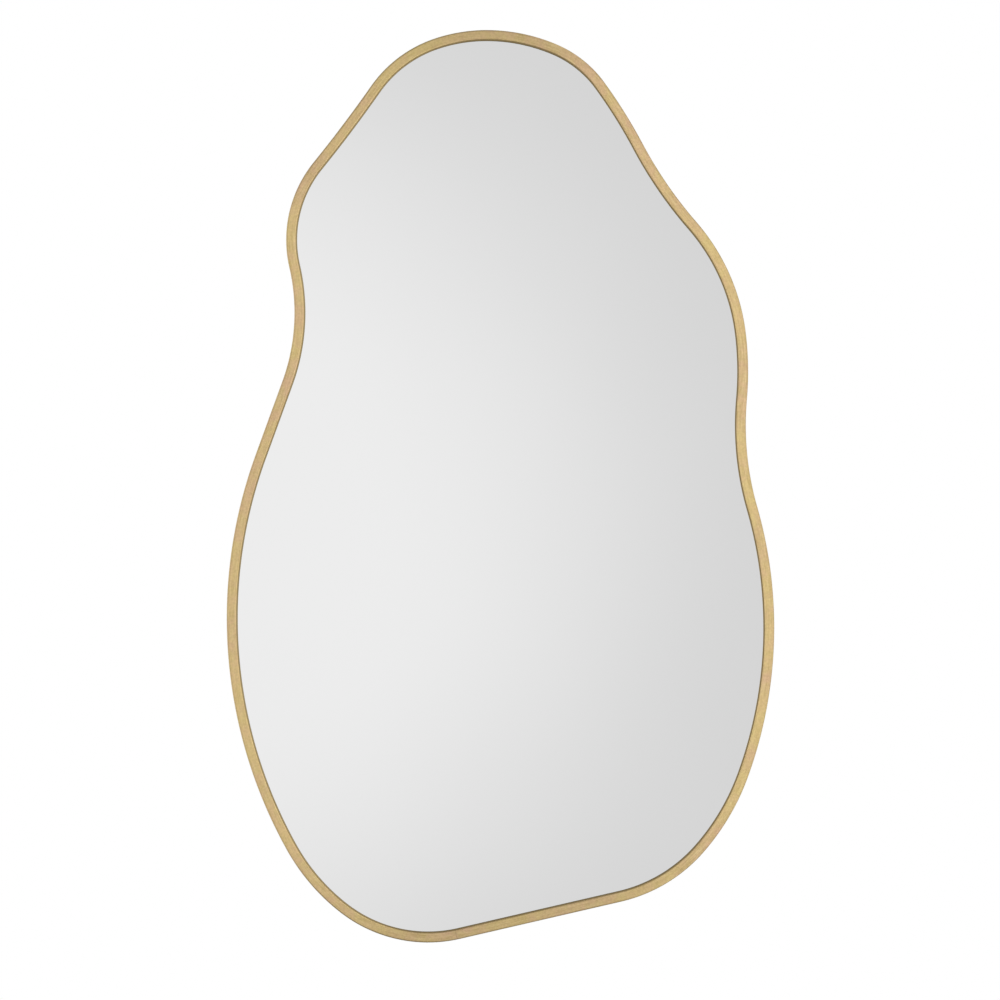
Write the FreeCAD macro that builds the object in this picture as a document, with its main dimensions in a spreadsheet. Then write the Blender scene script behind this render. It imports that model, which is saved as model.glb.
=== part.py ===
import FreeCAD, Part
import math
import os
import Sketcher
from FreeCAD import Placement, Rotation, Vector

# A free-form wall mirror: silvered glass in a slim bent metal band, on a backing board with two
# hinged hanging rings. X runs to the right as it is looked at, Z up and Y towards the wall.
# The wall is the plane Y = 0, and the origin lies midway between the places where the two
# rings sit on their wall hooks.

# Driving dimensions, in millimetres where no unit is given. The outline is one closed run of
# bends and straights, each tangent to the next. It starts at the topmost point of the mirror,
# heads left and goes down the left side.
sizes = {
    # the topmost point
    "top_x": -15,
    "top_z": 225,
    # crown, left half
    "crown_left_radius": 178,
    "crown_left_turn": "19 deg",
    "crown_left_corner_radius": 139,
    "crown_left_corner_turn": "36 deg",
    # left side
    "left_slope_radius": 1500,
    "left_slope_turn": "4 deg",
    "left_shoulder_radius": 135,
    "left_shoulder_turn": "52 deg",
    "left_waist_radius": 220,
    "left_waist_turn": "33 deg",
    "left_flank_length": 86,
    # lower end
    "lower_left_radius": 227,
    "lower_left_turn": "23 deg",
    "foot_turn": "51 deg",
    "base_length": 181,
    "right_corner_radius": 172,
    "right_corner_turn": "36 deg",
    "lower_right_radius": 260,
    "lower_right_turn": "21 deg",
    # right side
    "right_belly_radius": 480,
    "right_belly_turn": "36 deg",
    "right_waist_radius": 325,
    "right_waist_turn": "21 deg",
    "right_shoulder_radius": 350,
    "right_shoulder_turn": "12 deg",
    "upper_right_radius": 227,
    "upper_right_turn": "34 deg",
    "right_slope_radius": 460,
    "right_slope_turn": "13 deg",
    # crown, right half
    "crown_rise_radius": 570,
    "crown_rise_turn": "8 deg",
    "crown_right_corner_radius": 125,
    "crown_right_corner_turn": "31 deg",
    "crown_right_radius": 197,
    "crown_right_turn": "23 deg",
    # band: a strip of L section, its lip in front
    "band_thickness": 1.5,
    "band_depth": 25,
    "face_width": 10.5,
    "edge_bevel": 0.8,
    "seam_gap": 0.2,
    "splice_thickness": 1,
    "splice_width": 18,
    "splice_length": 60,
    # glass, and what touches it
    "glass_thickness": 4,
    "glass_gap": 1.5,
    "tape_thickness": 0.8,
    "tape_reveal": 1.8,
    "film_thickness": 0.3,
    "film_margin": 1,
    "pad_length": 40,
    # board, and the foam strips in front of it
    "board_thickness": 9,
    "board_gap": 2,
    "foam_thickness": 1,
    "foam_width": 25,
    "foam_length": 640,
    "foam_spacing": 110,
    "foam_middle_z": -330,
    # tabs on the band, bent over the board
    "tab_thickness": 1,
    "tab_width": 14,
    "tab_leg": 8,
    "tab_reach": 16,
    "tab_bend_radius": 0.5,
    "tab_corner_radius": 3,
    "tab_clearance": 0.05,
    # hanging rings, of wire
    "ring_spacing": 300,
    "ring_wire_radius": 1.5,
    "ring_half_width": 11,
    "ring_corner_radius": 4,
    "ring_leg": 6,
    "ring_rest_gap": 0.3,
    # straps, folded round the bars of the rings
    "strap_thickness": 1,
    "strap_width": 14,
    "strap_length": 46,
    "strap_fold": 4,
    "strap_corner_radius": 5,
    "eye_clearance": 0.15,
    "strap_hole_first": 23,
    "strap_hole_pitch": 14,
    # screws through the straps
    "screw_radius": 1.75,
    "screw_head_radius": 3.5,
    "screw_head_height": 2.2,
    "screw_bite": 6,
    "screw_play": 0.1,
    # rubber bumpers, which touch the wall
    "bumper_radius": 8,
    "bumper_proud": 2,
    "bumper_low_x": 150,
    "bumper_low_z": -690,
    "bumper_high_x": 80,
    "bumper_high_z": 150,
}

doc = FreeCAD.newDocument("free_form_mirror")
sheet = doc.addObject("Spreadsheet::Sheet", "Sizes")
for row, (alias, size) in enumerate(sizes.items(), 1):
    sheet.set("A%d" % row, alias.replace("_", " "))
    sheet.set("B%d" % row, str(size))
    sheet.setAlias("B%d" % row, alias)
doc.recompute()

# Depths, from the wall to the front. Glass, film, foam and board are laid into the band from
# behind, against its front lip.
rear_edge = "(-Sizes.bumper_proud)"
front_face = "(%s - Sizes.band_depth)" % rear_edge
lip_back = "(%s + Sizes.band_thickness)" % front_face
glass_front = "(%s + Sizes.tape_thickness)" % lip_back
glass_back = "(%s + Sizes.glass_thickness)" % glass_front
film_back = "(%s + Sizes.film_thickness)" % glass_back
board_front = "(%s + Sizes.foam_thickness)" % film_back
board_back = "(%s + Sizes.board_thickness)" % board_front
band_middle = "((%s + %s) / 2)" % (lip_back, rear_edge)

# Distances in from the outer face of the band
wall_inside = "Sizes.band_thickness"
splice_inside = "(Sizes.band_thickness + Sizes.splice_thickness)"
glass_edge = "(Sizes.band_thickness + Sizes.glass_gap)"
film_edge = "(%s + Sizes.film_margin)" % glass_edge
board_edge = "(Sizes.band_thickness + Sizes.board_gap)"
sight_edge = "Sizes.face_width"
tape_edge = "(Sizes.face_width + Sizes.tape_reveal)"

hole_radius = "(Sizes.screw_radius + Sizes.screw_play)"


def value(expression):
    """The number that an expression on the sheet gives now."""
    result = sheet.evalExpression(expression)
    return float(getattr(result, "Value", result))


board_plane = value(board_back)
through = 2 * value("Sizes.band_depth")     # long enough to pass right through the band

# ------------------------------------------------------------------ outline

BULGE, HOLLOW, STRAIGHT = 1, -1, 0
RUN = [("crown_left", BULGE), ("crown_left_corner", BULGE), ("left_slope", HOLLOW),
       ("left_shoulder", BULGE), ("left_waist", HOLLOW), ("left_flank", STRAIGHT),
       ("left_belly", BULGE), ("lower_left", BULGE), ("foot", BULGE), ("base", STRAIGHT),
       ("right_corner", BULGE), ("lower_right", BULGE), ("right_belly", BULGE),
       ("right_waist", HOLLOW), ("right_shoulder", BULGE), ("upper_right", BULGE),
       ("right_slope", HOLLOW), ("crown_rise", BULGE), ("crown_right_corner", BULGE),
       ("crown_right", BULGE)]
ORDER = [name for name, kind in RUN]
CLOSING_TURN = "left_belly"     # its turn completes the full circle
CLOSING_RADII = ("left_belly", "foot")     # their radii bring the end back to the start


def heading(angle):
    return Vector(math.cos(angle), math.sin(angle), 0)


def run_of_bends():
    """Turn (radians) and radius or length of every stretch, with the closing ones worked out."""
    turns = {}
    for name, kind in RUN:
        if kind != STRAIGHT and name != CLOSING_TURN:
            turns[name] = kind * math.radians(value("Sizes.%s_turn" % name))
    turns[CLOSING_TURN] = 2 * math.pi - sum(turns.values())
    spans = {}
    reach = {}
    gap = Vector(0, 0, 0)
    angle = math.pi
    for name, kind in RUN:
        if kind == STRAIGHT:
            turns[name] = 0.0
            spans[name] = value("Sizes.%s_length" % name)
            gap += heading(angle) * spans[name]
            continue
        after = angle + turns[name]
        side = kind * math.pi / 2
        step = heading(angle + side) - heading(after + side)     # travel per unit of radius
        if name in CLOSING_RADII:
            reach[name] = step
        else:
            spans[name] = value("Sizes.%s_radius" % name)
            gap += step * spans[name]
        angle = after
    one, two = (reach[name] for name in CLOSING_RADII)
    area = one.x * two.y - one.y * two.x
    spans[CLOSING_RADII[0]] = (gap.y * two.x - gap.x * two.y) / area
    spans[CLOSING_RADII[1]] = (gap.x * one.y - gap.y * one.x) / area
    return turns, spans


def draw_outline():
    """The outer edge of the band, as a sketch that looks forward from the wall plane."""
    turns, spans = run_of_bends()
    sketch = doc.addObject("Sketcher::SketchObject", "outline")
    point = Vector(value("Sizes.top_x"), value("Sizes.top_z"), 0)
    angle = math.pi
    ends = []
    for name, kind in RUN:
        if kind == STRAIGHT:
            end = point + heading(angle) * spans[name]
            sketch.addGeometry(Part.LineSegment(point, end), False)
            ends.append((1, 2))
            point = end
            continue
        centre = point + heading(angle + kind * math.pi / 2) * spans[name]
        start = math.atan2(point.y - centre.y, point.x - centre.x)
        stop = start + turns[name]
        circle = Part.Circle(centre, Vector(0, 0, 1), spans[name])
        sketch.addGeometry(Part.ArcOfCircle(circle, min(start, stop), max(start, stop)), False)
        ends.append((1, 2) if kind == BULGE else (2, 1))
        angle += turns[name]
        point = centre + heading(stop) * spans[name]

    for here in range(len(RUN)):
        after = (here + 1) % len(RUN)
        sketch.addConstraint(
            Sketcher.Constraint("Tangent", here, ends[here][1], after, ends[after][0]))
    sketch.addConstraint(Sketcher.Constraint("Vertical", 0, 1, 0, 3))

    def bind(constraint, name):
        index = sketch.addConstraint(constraint)
        sketch.renameConstraint(index, name)
        sketch.setExpression("Constraints." + name, "Sizes." + name)

    bind(Sketcher.Constraint("DistanceX", -1, 1, 0, 1, value("Sizes.top_x")), "top_x")
    bind(Sketcher.Constraint("DistanceY", -1, 1, 0, 1, value("Sizes.top_z")), "top_z")
    for index, (name, kind) in enumerate(RUN):
        if kind == STRAIGHT:
            bind(Sketcher.Constraint("Distance", index, spans[name]), name + "_length")
            continue
        if name not in CLOSING_RADII:
            bind(Sketcher.Constraint("Radius", index, spans[name]), name + "_radius")
        if name != CLOSING_TURN:
            bind(Sketcher.Constraint("Angle", index, abs(turns[name])), name + "_turn")
    sketch.Placement = Placement(Vector(0, 0, 0), Rotation(Vector(1, 0, 0), 90))
    doc.recompute()
    return sketch


outline = draw_outline()


def station(stretch, share):
    """A frame on the outline: X along the band, Y to the wall and Z out of the mirror."""
    index = ORDER.index(stretch)
    curve = outline.Geometry[index]
    kind = RUN[index][1]
    place = curve.value(curve.FirstParameter + share * (curve.LastParameter - curve.FirstParameter))
    if kind == STRAIGHT:
        along = (curve.EndPoint - curve.StartPoint).normalize()
        out = Vector(along.y, -along.x, 0)
    else:
        out = (place - curve.Center).normalize() * kind
    turn = Rotation(Vector(0, 1, 0), math.degrees(math.atan2(out.x, out.y)))
    return Placement(Vector(place.x, 0, place.y), turn)


# ------------------------------------------------------------------ building blocks

facing_front = Rotation(Vector(1, 0, 0), 90)     # turns an upright cylinder to point forward
facing_wall = Rotation(Vector(1, 0, 0), -90)
nodes = []


def add(kind, name, **properties):
    """A new object. Text values are expressions on the sheet, all others are set as they are."""
    item = doc.addObject(kind, name)
    for key, given in properties.items():
        if isinstance(given, str):
            item.setExpression(key, given)
        else:
            setattr(item, key, given)
    return item


def node(item, name):
    """Name a finished sub-part."""
    item.Label = name
    nodes.append(item)
    return item


def copy(item, name, place):
    """One of several alike, put in its place."""
    link = doc.addObject("App::Link", name + "_copy")
    link.LinkedObject = item
    link.Placement = place
    return link


def inset(name, distance):
    """The outline moved in from the outer face of the band."""
    return add("Part::Offset2D", name, Source=outline, Value="-" + distance)


def slab(name, edge, back, thickness):
    """What an edge encloses, from a rear plane forward."""
    solid = add("Part::Extrusion", name, Base=edge, Solid=True, LengthFwd=thickness)
    solid.DirMode = "Normal"
    solid.setExpression("Placement.Base.y", back)
    return solid


def cut(name, base, tool):
    return add("Part::Cut", name, Base=base, Tool=tool)


def common(name, base, tool):
    return add("Part::Common", name, Base=base, Tool=tool)


def fuse(name, *pieces):
    return add("Part::MultiFuse", name, Shapes=list(pieces))


def ring_run(name, outer, inner, back, thickness):
    """What lies between two edges, from a rear plane forward."""
    whole = slab(name + "_whole", outer, back, thickness)
    return cut(name, whole, slab(name + "_hole", inner, back, thickness))


def block(name, place, width):
    """A block across the band at a station."""
    body = add("Part::Box", name, Length=width, Width=2 * through, Height=2 * through)
    body.Placement = place * Placement(Vector(-value(width) / 2, -through, -through), Rotation())
    return body


def plane_of(body, role):
    return [item for item in body.Origin.OriginFeatures if item.Role == role][0]


def flat_sketch(body, role, name):
    sketch = body.newObject("Sketcher::SketchObject", name)
    sketch.AttachmentSupport = (plane_of(body, role), "")
    sketch.MapMode = "FlatFace"
    return sketch


def constrain(sketch, rules, bound):
    """Constraints as tuples, and those with a size as (tuple, expression)."""
    for rule in rules:
        sketch.addConstraint(Sketcher.Constraint(*rule))
    for rule, expression in bound:
        index = sketch.addConstraint(Sketcher.Constraint(*rule, value(expression)))
        sketch.setExpression("Constraints[%d]" % index, expression)
    doc.recompute()


# ------------------------------------------------------------------ band

wall_inner = inset("wall_inner", wall_inside)
splice_inner = inset("splice_inner", splice_inside)
glass_outer = inset("glass_outer", glass_edge)
film_outer = inset("film_outer", film_edge)
board_outer = inset("board_outer", board_edge)
sight_outer = inset("sight_outer", sight_edge)
tape_inner = inset("tape_inner", tape_edge)


def make_band(seam):
    """A strip of L section, lip in front, bent round the outline and closed with a butt seam."""
    blank = slab("band_blank", outline, rear_edge, "Sizes.band_depth")
    rebate = slab("band_rebate", wall_inner, rear_edge, "%s - %s" % (rear_edge, lip_back))
    sight = slab("band_sight", sight_outer, rear_edge, "Sizes.band_depth")
    shell = cut("band_section", cut("band_wall", blank, rebate), sight)
    doc.recompute()
    front = value(front_face)
    lip = [face for face in shell.Shape.Faces
           if math.isclose(face.BoundBox.YMin, front, abs_tol=1e-6)
           and math.isclose(face.BoundBox.YMax, front, abs_tol=1e-6)][0]
    bevel = value("Sizes.edge_bevel")
    bevelled = add("Part::Chamfer", "band_bevelled", Base=shell)
    bevelled.Edges = [(number, bevel, bevel)
                      for number, edge in enumerate(shell.Shape.Edges, 1)
                      if any(edge.isSame(other) for other in lip.OuterWire.Edges)]
    return cut("band", bevelled, block("seam_slot", seam, "Sizes.seam_gap"))


seam_station = station("foot", 0.98)
node(make_band(seam_station), "frame_band")

splice_run = ring_run("splice_run", wall_inner, splice_inner,
                      "%s + Sizes.splice_width / 2" % band_middle, "Sizes.splice_width")
splice_reach = block("splice_reach", seam_station, "Sizes.splice_length")
node(common("splice", splice_run, splice_reach), "seam_splice")

# ------------------------------------------------------------------ glass

node(ring_run("tape", glass_outer, tape_inner, glass_front, "Sizes.tape_thickness"), "glazing_tape")
node(slab("glass", glass_outer, glass_back, "Sizes.glass_thickness"), "mirror_glass")
node(slab("film", film_outer, film_back, "Sizes.film_thickness"), "safety_film")

# Rubber pads keep the edge of the glass off the band.
pad_run = ring_run("pad_run", wall_inner, glass_outer, glass_back,
                   "Sizes.tape_thickness + Sizes.glass_thickness")
PADS = [("left_belly", 0.5), ("lower_left", 0.6), ("right_corner", 0.45), ("right_belly", 0.5),
        ("upper_right", 0.5), ("crown_left_corner", 0.5)]
for number, (stretch, share) in enumerate(PADS, 1):
    reach_of_pad = block("pad_reach_%d" % number, station(stretch, share), "Sizes.pad_length")
    node(common("pad_%d" % number, pad_run, reach_of_pad), "setting_pad_%d" % number)

# ------------------------------------------------------------------ foam strips

for side, name in ((-1, "left"), (0, "middle"), (1, "right")):
    strip = add("Part::Box", "foam_" + name, Length="Sizes.foam_width",
                Width="Sizes.foam_thickness", Height="Sizes.foam_length")
    strip.setExpression("Placement.Base.x", "%d * Sizes.foam_spacing - Sizes.foam_width / 2" % side)
    strip.setExpression("Placement.Base.y", film_back)
    strip.setExpression("Placement.Base.z", "Sizes.foam_middle_z - Sizes.foam_length / 2")
    node(strip, "foam_strip_" + name)

# ------------------------------------------------------------------ bend tabs


def make_tab():
    """An angle of flat strip in the frame of a station: a leg on the band, a foot on the board."""
    thick = value("Sizes.tab_thickness")
    back = value(board_back) + thick
    front = back - value("Sizes.tab_leg")
    outer = -value(wall_inside + " + Sizes.tab_clearance")
    inner = outer - value("Sizes.tab_reach")
    body = doc.addObject("PartDesign::Body", "tab")
    profile = flat_sketch(body, "YZ_Plane", "tab_profile")
    corners = [Vector(front, outer, 0), Vector(back, outer, 0), Vector(back, inner, 0),
               Vector(back - thick, inner, 0), Vector(back - thick, outer - thick, 0),
               Vector(front, outer - thick, 0)]
    for here in range(6):
        profile.addGeometry(Part.LineSegment(corners[here], corners[(here + 1) % 6]), False)
    rules = [("Coincident", here, 2, (here + 1) % 6, 1) for here in range(6)]
    rules += [("Horizontal", here) for here in (0, 2, 4)]
    rules += [("Vertical", here) for here in (1, 3, 5)]
    constrain(profile, rules, [
        (("DistanceX", -1, 1, 3, 1), board_back),
        (("DistanceX", 2, 2, 2, 1), "Sizes.tab_thickness"),
        (("DistanceX", 0, 1, 0, 2), "Sizes.tab_leg"),
        (("DistanceY", 0, 1, -1, 1), wall_inside + " + Sizes.tab_clearance"),
        (("DistanceY", 5, 1, 5, 2), "Sizes.tab_thickness"),
        (("DistanceY", 1, 2, 1, 1), "Sizes.tab_reach")])
    pad = body.newObject("PartDesign::Pad", "tab_pad")
    pad.Profile = profile
    pad.Midplane = True
    pad.setExpression("Length", "Sizes.tab_width")
    doc.recompute()

    def fillet(name, base, radius, wanted):
        chosen = ["Edge%d" % number for number, edge in enumerate(base.Shape.Edges, 1)
                  if wanted(edge.CenterOfMass)]
        item = body.newObject("PartDesign::Fillet", name)
        item.Base = (base, chosen)
        item.setExpression("Radius", radius)
        doc.recompute()
        return item

    def near(centre, y, z):
        return math.hypot(centre.y - y, centre.z - z) < thick / 4

    bend_out = fillet("tab_bend_outside", pad, "Sizes.tab_bend_radius + Sizes.tab_thickness",
                      lambda centre: near(centre, back, outer))
    bend_in = fillet("tab_bend_inside", bend_out, "Sizes.tab_bend_radius",
                     lambda centre: near(centre, back - thick, outer - thick))
    body.Tip = fillet("tab_corners", bend_in, "Sizes.tab_corner_radius",
                      lambda centre: near(centre, back - thick / 2, inner)
                      and abs(centre.x) > thick)
    return body


tab = make_tab()
TABS = [("crown_left_corner", 0.05), ("left_shoulder", 0.5), ("left_belly", 0.18),
        ("left_belly", 0.85), ("right_corner", 0.9), ("right_belly", 0.15),
        ("right_belly", 0.95), ("upper_right", 0.8), ("crown_right_corner", 0.5)]
for number, (stretch, share) in enumerate(TABS, 1):
    radius = outline.Geometry[ORDER.index(stretch)].Radius - value(wall_inside)
    half = value("Sizes.tab_width") / 2
    set_in = radius - math.sqrt(radius ** 2 - half ** 2)     # a flat strip in a round bend
    spot = station(stretch, share) * Placement(Vector(0, 0, -set_in), Rotation())
    node(copy(tab, "tab_%d" % number, spot), "bend_tab_%d" % number)

# ------------------------------------------------------------------ hanging rings

bar_height = "(Sizes.strap_thickness + Sizes.eye_clearance + Sizes.ring_wire_radius)"
ring_reach = "(Sizes.ring_leg + Sizes.ring_half_width)"     # from the bar to the round end
ring_lean = ("asin((%s - Sizes.ring_wire_radius - Sizes.ring_rest_gap) / %s)"
             % (bar_height, ring_reach))
hook_seat = "((%s - Sizes.ring_wire_radius) * cos(%s))" % (ring_reach, ring_lean)
bar_y = board_plane + value(bar_height)
bar_z = -value(hook_seat)     # so that the rings sit on their hooks at Z = 0
WIRE_FLATS = 8     # the round wire is drawn as a prism, its corners on the round


def make_ring():
    """A closed ring of wire, lying in XY: a straight bar on the X axis, two legs, a round end."""
    half = value("Sizes.ring_half_width")
    corner = value("Sizes.ring_corner_radius")
    leg = value("Sizes.ring_leg")
    quarter = math.pi / 2
    up = Vector(0, 0, 1)
    path = doc.addObject("Sketcher::SketchObject", "ring_path")

    def arc(x, y, radius, start, end):
        return Part.ArcOfCircle(Part.Circle(Vector(x, y, 0), up, radius), start, end)

    path.addGeometry([
        Part.LineSegment(Vector(corner - half, 0, 0), Vector(half - corner, 0, 0)),
        arc(half - corner, corner, corner, -quarter, 0),
        Part.LineSegment(Vector(half, corner, 0), Vector(half, leg, 0)),
        arc(0, leg, half, 0, math.pi),
        Part.LineSegment(Vector(-half, leg, 0), Vector(-half, corner, 0)),
        arc(corner - half, corner, corner, math.pi, 3 * quarter)], False)
    rules = [("Tangent", here, 2, (here + 1) % 6, 1) for here in range(6)]
    rules += [("Horizontal", 0), ("PointOnObject", 0, 1, -1), ("PointOnObject", 3, 3, -2),
              ("Equal", 1, 5)]
    constrain(path, rules, [
        (("Radius", 1), "Sizes.ring_corner_radius"),
        (("Radius", 3), "Sizes.ring_half_width"),
        (("DistanceY", -1, 1, 3, 3), "Sizes.ring_leg")])
    wire = add("Part::RegularPolygon", "ring_wire", Polygon=WIRE_FLATS,
               Circumradius="Sizes.ring_wire_radius")
    flats_level = Rotation(Vector(0, 0, 1), 180 / WIRE_FLATS)
    wire.Placement = Placement(Vector(0, 0, 0), Rotation(Vector(0, 1, 0), 90) * flats_level)
    sweep = doc.addObject("Part::Sweep", "ring")
    sweep.Sections = [wire]
    sweep.Spine = (path, ["Edge%d" % number for number in range(1, 7)])
    sweep.Solid = True
    sweep.Frenet = False
    return sweep


def make_strap():
    """A strap folded round the bar of a ring, both layers on the board, with two screw holes."""
    thick = value("Sizes.strap_thickness")
    eye = value("Sizes.ring_wire_radius + Sizes.eye_clearance")
    fold = value("Sizes.strap_fold")
    length = value("Sizes.strap_length")
    lean = 2 * math.atan2(eye, fold)     # of the upper layer as it leaves the eye
    middle = eye + thick
    run = (middle * (1 + math.cos(lean)) - 2 * thick) / math.sin(lean)
    body = doc.addObject("PartDesign::Body", "strap")
    profile = flat_sketch(body, "YZ_Plane", "strap_profile")

    def around(radius, angle):
        return Vector(middle + radius * math.cos(angle), radius * math.sin(angle), 0)

    def arc(radius):
        circle = Part.Circle(Vector(middle, 0, 0), Vector(0, 0, 1), radius)
        return Part.ArcOfCircle(circle, -lean, math.pi)

    leave = around(middle, -lean)
    meet = Vector(2 * thick, leave.y - run * math.cos(lean), 0)
    foot_out, foot_in = Vector(2 * thick, -length, 0), Vector(0, -length, 0)
    pinch = Vector(thick, -fold, 0)
    profile.addGeometry([
        Part.LineSegment(foot_in, Vector(0, 0, 0)),
        arc(middle),
        Part.LineSegment(leave, meet),
        Part.LineSegment(meet, foot_out),
        Part.LineSegment(foot_out, foot_in),
        Part.LineSegment(pinch, Vector(thick, 0, 0)),
        arc(eye),
        Part.LineSegment(around(eye, -lean), pinch)], False)
    rules = [("Tangent", 0, 2, 1, 2), ("Tangent", 1, 1, 2, 1), ("Coincident", 2, 2, 3, 1),
             ("Coincident", 3, 2, 4, 1), ("Coincident", 4, 2, 0, 1), ("Tangent", 5, 2, 6, 2),
             ("Tangent", 6, 1, 7, 1), ("Coincident", 7, 2, 5, 1), ("Coincident", 1, 3, 6, 3),
             ("Coincident", 0, 2, -1, 1), ("Vertical", 0), ("Vertical", 3), ("Horizontal", 4),
             ("Vertical", 5), ("Parallel", 2, 7)]
    constrain(profile, rules, [
        (("Radius", 6), "Sizes.ring_wire_radius + Sizes.eye_clearance"),
        (("DistanceX", 0, 2, 5, 2), "Sizes.strap_thickness"),
        (("DistanceX", 4, 2, 4, 1), "2 * Sizes.strap_thickness"),
        (("Distance", 0), "Sizes.strap_length"),
        (("Distance", 5), "Sizes.strap_fold")])
    pad = body.newObject("PartDesign::Pad", "strap_pad")
    pad.Profile = profile
    pad.Midplane = True
    pad.setExpression("Length", "Sizes.strap_width")
    doc.recompute()
    corners = ["Edge%d" % number for number, edge in enumerate(pad.Shape.Edges, 1)
               if abs(edge.CenterOfMass.z + length) < thick / 4 and abs(edge.CenterOfMass.x) > thick]
    rounded = body.newObject("PartDesign::Fillet", "strap_corners")
    rounded.Base = (pad, corners)
    rounded.setExpression("Radius", "Sizes.strap_corner_radius")
    holes = flat_sketch(body, "XZ_Plane", "strap_holes")
    first, pitch = value("Sizes.strap_hole_first"), value("Sizes.strap_hole_pitch")
    for below in (first, first + pitch):
        circle = Part.Circle(Vector(0, -below, 0), Vector(0, 0, 1), value(hole_radius))
        holes.addGeometry(circle, False)
    constrain(holes, [("PointOnObject", 0, 3, -2), ("PointOnObject", 1, 3, -2), ("Equal", 0, 1)], [
        (("Radius", 0), hole_radius),
        (("DistanceY", 0, 3, -1, 1), "Sizes.strap_hole_first"),
        (("DistanceY", 1, 3, 0, 3), "Sizes.strap_hole_pitch")])
    pocket = body.newObject("PartDesign::Pocket", "strap_pocket")
    pocket.Profile = holes
    pocket.Type = "ThroughAll"
    pocket.Midplane = True
    body.Tip = pocket
    doc.recompute()
    if pocket.Shape.Volume >= rounded.Shape.Volume:
        raise RuntimeError("the screw holes of the strap cut nothing")
    return body


ring = make_ring()
strap = make_strap()
lean_to_board = Rotation(Vector(1, 0, 0), 90 + value(ring_lean))
head_seat = "(%s + 2 * Sizes.strap_thickness)" % board_back
screw_places = []
for side, name in ((-1, "left"), (1, "right")):
    ring_x = side * value("Sizes.ring_spacing") / 2
    ring_place = Placement(Vector(ring_x, bar_y, bar_z), lean_to_board)
    node(copy(ring, "ring_" + name, ring_place), "hanger_ring_" + name)
    strap_place = Placement(Vector(ring_x, board_plane, bar_z), Rotation())
    node(copy(strap, "strap_" + name, strap_place), "hanger_strap_" + name)
    for below in ("Sizes.strap_hole_first", "Sizes.strap_hole_first + Sizes.strap_hole_pitch"):
        screw_places.append(Vector(ring_x, value(head_seat), bar_z - value(below)))

# ------------------------------------------------------------------ screws, board and bumpers

shank_length = "(2 * Sizes.strap_thickness + Sizes.screw_bite)"
screw_head = add("Part::Cylinder", "screw_head", Radius="Sizes.screw_head_radius",
                 Height="Sizes.screw_head_height")
screw_shank = add("Part::Cylinder", "screw_shank", Radius="Sizes.screw_radius", Height=shank_length)
screw_shank.setExpression("Placement.Base.z", "-" + shank_length)
screw = fuse("screw", screw_head, screw_shank)
doc.recompute()
screws = [copy(screw, "screw_%d" % number, Placement(place, facing_wall))
          for number, place in enumerate(screw_places, 1)]
node(add("Part::Compound", "screws", Links=screws), "hanger_screws")

pilots = []
for number, place in enumerate(screw_places, 1):
    pilot = add("Part::Cylinder", "pilot_%d" % number, Radius=hole_radius,
                Height="%s + Sizes.screw_play" % shank_length)
    pilot.Placement = Placement(place, facing_front)
    pilots.append(pilot)
board_blank = slab("board_blank", board_outer, board_back, "Sizes.board_thickness")
node(cut("board", board_blank, fuse("pilots", *pilots)), "backing_board")

CORNERS = [(-1, "low"), (1, "low"), (1, "high"), (-1, "high")]
for number, (side, level) in enumerate(CORNERS, 1):
    bumper = add("Part::Cylinder", "bumper_%d" % number, Radius="Sizes.bumper_radius",
                 Height="-" + board_back)
    bumper.Placement = Placement(Vector(side * value("Sizes.bumper_%s_x" % level), board_plane,
                                        value("Sizes.bumper_%s_z" % level)), facing_wall)
    node(bumper, "wall_bumper_%d" % number)

# ------------------------------------------------------------------ check and write

doc.recompute()
for item in doc.Objects:
    if "Invalid" in item.State or "Error" in item.State:
        raise RuntimeError("%s failed: %s" % (item.Name, item.State))
shapes = {item.Label: Part.getShape(item) for item in nodes}
for name, shape in shapes.items():
    if shape.isNull() or not shape.isValid() or not shape.Solids:
        raise RuntimeError("%s has no valid shape" % name)
os.makedirs("parts", exist_ok=True)
for name, shape in shapes.items():
    shape.exportStep("parts/%s.step" % name)
    print("%-20s %2d solids %12.1f mm3" % (name, len(shape.Solids), shape.Volume))
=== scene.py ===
import math
import bmesh
import bpy
from mathutils import Matrix, Vector


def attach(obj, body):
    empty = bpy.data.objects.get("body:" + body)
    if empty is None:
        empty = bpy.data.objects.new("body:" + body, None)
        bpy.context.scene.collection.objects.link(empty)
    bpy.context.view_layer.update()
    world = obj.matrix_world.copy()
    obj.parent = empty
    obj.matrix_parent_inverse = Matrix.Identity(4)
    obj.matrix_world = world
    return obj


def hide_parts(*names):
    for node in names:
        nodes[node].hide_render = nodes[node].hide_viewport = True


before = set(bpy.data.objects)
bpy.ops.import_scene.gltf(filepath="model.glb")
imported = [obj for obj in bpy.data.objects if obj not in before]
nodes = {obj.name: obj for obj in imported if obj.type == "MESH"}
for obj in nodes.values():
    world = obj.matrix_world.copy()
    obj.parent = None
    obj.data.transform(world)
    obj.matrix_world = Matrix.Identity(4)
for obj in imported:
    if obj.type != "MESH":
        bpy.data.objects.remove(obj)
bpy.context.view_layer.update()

# A free-form wall mirror: silvered glass in a slim brushed brass band, with its backing board,
# hanging rings and bumpers behind. X is to the right, Z up, and the wall is the plane Y = 0.

mm = 0.001
towardsWall = Vector((0, 1, 0))


# small helpers

def linear(hexColour):
    channels = [int(hexColour[i:i + 2], 16) / 255 for i in (1, 3, 5)]
    return [c / 12.92 if c < 0.04045 else ((c + 0.055) / 1.055) ** 2.4 for c in channels] + [1.0]


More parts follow.
